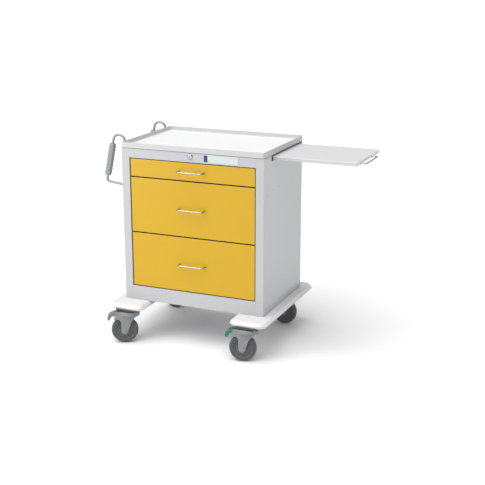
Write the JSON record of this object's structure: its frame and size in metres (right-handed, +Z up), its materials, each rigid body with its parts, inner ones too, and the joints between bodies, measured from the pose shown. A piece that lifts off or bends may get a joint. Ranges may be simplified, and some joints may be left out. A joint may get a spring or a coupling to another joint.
{
  "type": "crash cart",
  "caption": "Compact wheeled hospital crash cart: steel drawer cabinet with lock, recessed work tray, pull-out side shelf, push handles, bumper rails and swivel castors.",
  "frame": {"origin": "on the floor, under the middle of the whole cart's box with the side shelf drawn out", "axes": "+Z up, drawers open toward -Y, side shelf slides out toward +X"},
  "size_m": [1.0832, 0.6086, 0.8444],
  "materials": {
    "grey_paint": "smooth satin powder coat",
    "yellow_paint": "smooth satin powder coat",
    "tray_paint": "satin powder coat",
    "tray_plastic": "smooth moulded plastic",
    "rail_plastic": "smooth moulded plastic",
    "shelf_plastic": "smooth",
    "zinc_steel": "zinc plated",
    "chrome": "polished",
    "handle_rod": "satin",
    "grip_rubber": "soft matte with shallow ridges",
    "castor_steel": "dark zinc",
    "castor_grey": "moulded",
    "wheel_grey": "moulded",
    "tyre_grey": "smooth non-marking tread",
    "pedal_grey": "moulded",
    "pedal_green": "moulded"
  },
  "bodies": {
    "root": {"front_frame": "grey_paint", "left_side_panel": "grey_paint", "right_side_panel": "grey_paint", "back_panel": "grey_paint", "bottom_pan": "grey_paint", "cabinet_top_pan": "grey_paint", "top_tray": "tray_plastic", "left_base_rail": "rail_plastic", "right_base_rail": "rail_plastic", "shelf_guide_front": "zinc_steel", "shelf_guide_rear": "zinc_steel", "lock_barrel": "chrome", "push_rod_front": "handle_rod", "push_grip_front": "grip_rubber", "push_rod_rear": "handle_rod", "push_grip_rear": "grip_rubber", "bottom_drawer_left_outer_slide": "zinc_steel", "bottom_drawer_right_outer_slide": "zinc_steel", "middle_drawer_left_outer_slide": "zinc_steel", "middle_drawer_right_outer_slide": "zinc_steel", "top_drawer_left_outer_slide": "zinc_steel", "top_drawer_right_outer_slide": "zinc_steel", "front_left_castor_plate": "castor_steel", "front_right_castor_plate": "castor_steel", "rear_left_castor_plate": "castor_steel", "rear_right_castor_plate": "castor_steel"},
    "bottom_drawer": {"bottom_drawer_front": "yellow_paint", "bottom_drawer_tray": "tray_paint", "bottom_drawer_pull": "chrome"},
    "bottom_runners": {"bottom_drawer_left_middle_slide": "zinc_steel", "bottom_drawer_right_middle_slide": "zinc_steel"},
    "middle_drawer": {"middle_drawer_front": "yellow_paint", "middle_drawer_tray": "tray_paint", "middle_drawer_pull": "chrome"},
    "middle_runners": {"middle_drawer_left_middle_slide": "zinc_steel", "middle_drawer_right_middle_slide": "zinc_steel"},
    "top_drawer": {"top_drawer_front": "yellow_paint", "top_drawer_tray": "tray_paint", "top_drawer_pull": "chrome"},
    "top_runners": {"top_drawer_left_middle_slide": "zinc_steel", "top_drawer_right_middle_slide": "zinc_steel"},
    "lock_plug": {"lock_plug": "zinc_steel"},
    "lock_bar": {"lock_bar": "zinc_steel"},
    "side_shelf": {"side_shelf": "shelf_plastic", "shelf_pull": "chrome"},
    "front_left_castor": {"front_left_castor_fork": "castor_grey"},
    "front_left_wheel": {"front_left_wheel_hub": "wheel_grey", "front_left_tyre": "tyre_grey"},
    "front_left_pedal": {"front_left_brake_pedal": "pedal_grey"},
    "front_right_castor": {"front_right_castor_fork": "castor_grey"},
    "front_right_wheel": {"front_right_wheel_hub": "wheel_grey", "front_right_tyre": "tyre_grey"},
    "front_right_pedal": {"front_right_direction_pedal": "pedal_green"},
    "rear_left_castor": {"rear_left_castor_fork": "castor_grey"},
    "rear_left_wheel": {"rear_left_wheel_hub": "wheel_grey", "rear_left_tyre": "tyre_grey"},
    "rear_left_pedal": {"rear_left_brake_pedal": "pedal_grey"},
    "rear_right_castor": {"rear_right_castor_fork": "castor_grey"},
    "rear_right_wheel": {"rear_right_wheel_hub": "wheel_grey", "rear_right_tyre": "tyre_grey"}
  },
  "joints": [
    {"name": "bottom_drawer_slide", "type": "slide", "parent": "root", "child": "bottom_drawer", "axis": [0, -1, 0], "range_m": [0, 0.36]},
    {"name": "bottom_runner_slide", "type": "slide", "parent": "root", "child": "bottom_runners", "axis": [0, -1, 0], "range_m": [0, 0.18]},
    {"name": "middle_drawer_slide", "type": "slide", "parent": "root", "child": "middle_drawer", "axis": [0, -1, 0], "range_m": [0, 0.36]},
    {"name": "middle_runner_slide", "type": "slide", "parent": "root", "child": "middle_runners", "axis": [0, -1, 0], "range_m": [0, 0.18]},
    {"name": "top_drawer_slide", "type": "slide", "parent": "root", "child": "top_drawer", "axis": [0, -1, 0], "range_m": [0, 0.36]},
    {"name": "top_runner_slide", "type": "slide", "parent": "root", "child": "top_runners", "axis": [0, -1, 0], "range_m": [0, 0.18]},
    {"name": "lock_turn", "type": "hinge", "parent": "root", "child": "lock_plug", "pos_m": [-0.13257, -0.18973, 0.7857], "axis": [0, -1, 0], "range_deg": [0, 90]},
    {"name": "lock_bar_slide", "type": "slide", "parent": "root", "child": "lock_bar", "axis": [0, 0, 1], "range_m": [0, 0.008]},
    {"name": "side_shelf_slide", "type": "slide", "parent": "root", "child": "side_shelf", "axis": [1, 0, 0], "range_m": [-0.337, 0]},
    {"name": "front_left_swivel", "type": "hinge", "parent": "root", "child": "front_left_castor", "pos_m": [-0.39357, -0.24724, 0.13], "axis": [0, 0, 1], "continuous": true},
    {"name": "front_left_wheel_spin", "type": "hinge", "parent": "front_left_castor", "child": "front_left_wheel", "pos_m": [-0.40946, -0.25569, 0.055], "axis": [-0.4695, 0.8829, 0], "continuous": true},
    {"name": "front_left_brake_pedal_press", "type": "hinge", "parent": "front_left_castor", "child": "front_left_pedal", "pos_m": [-0.43772, -0.27071, 0.127], "axis": [0.4695, -0.8829, 0], "range_deg": [0, 16]},
    {"name": "front_right_swivel", "type": "hinge", "parent": "root", "child": "front_right_castor", "pos_m": [0.13443, -0.24724, 0.13], "axis": [0, 0, 1], "continuous": true},
    {"name": "front_right_wheel_spin", "type": "hinge", "parent": "front_right_castor", "child": "front_right_wheel", "pos_m": [0.11683, -0.25098, 0.055], "axis": [-0.2079, 0.9781, 0], "continuous": true},
    {"name": "front_right_direction_pedal_press", "type": "hinge", "parent": "front_right_castor", "child": "front_right_pedal", "pos_m": [0.08553, -0.25763, 0.127], "axis": [0.2079, -0.9781, 0], "range_deg": [0, 16]},
    {"name": "rear_left_swivel", "type": "hinge", "parent": "root", "child": "rear_left_castor", "pos_m": [-0.39357, 0.21227, 0.13], "axis": [0, 0, 1], "continuous": true},
    {"name": "rear_left_wheel_spin", "type": "hinge", "parent": "rear_left_castor", "child": "rear_left_wheel", "pos_m": [-0.41157, 0.21227, 0.055], "axis": [0, 1, 0], "continuous": true},
    {"name": "rear_left_brake_pedal_press", "type": "hinge", "parent": "rear_left_castor", "child": "rear_left_pedal", "pos_m": [-0.44357, 0.21227, 0.127], "axis": [0, -1, 0], "range_deg": [0, 16]},
    {"name": "rear_right_swivel", "type": "hinge", "parent": "root", "child": "rear_right_castor", "pos_m": [0.13443, 0.21227, 0.13], "axis": [0, 0, 1], "continuous": true},
    {"name": "rear_right_wheel_spin", "type": "hinge", "parent": "rear_right_castor", "child": "rear_right_wheel", "pos_m": [0.11643, 0.21227, 0.055], "axis": [0, 1, 0], "continuous": true}
  ],
  "couplings": [
    {"joint": "bottom_runner_slide", "follows": "bottom_drawer_slide", "ratio": 0.5},
    {"joint": "middle_runner_slide", "follows": "middle_drawer_slide", "ratio": 0.5},
    {"joint": "top_runner_slide", "follows": "top_drawer_slide", "ratio": 0.5},
    {"joint": "lock_turn", "follows": "lock_bar_slide", "rad_per_m": 196.34}
  ]
}
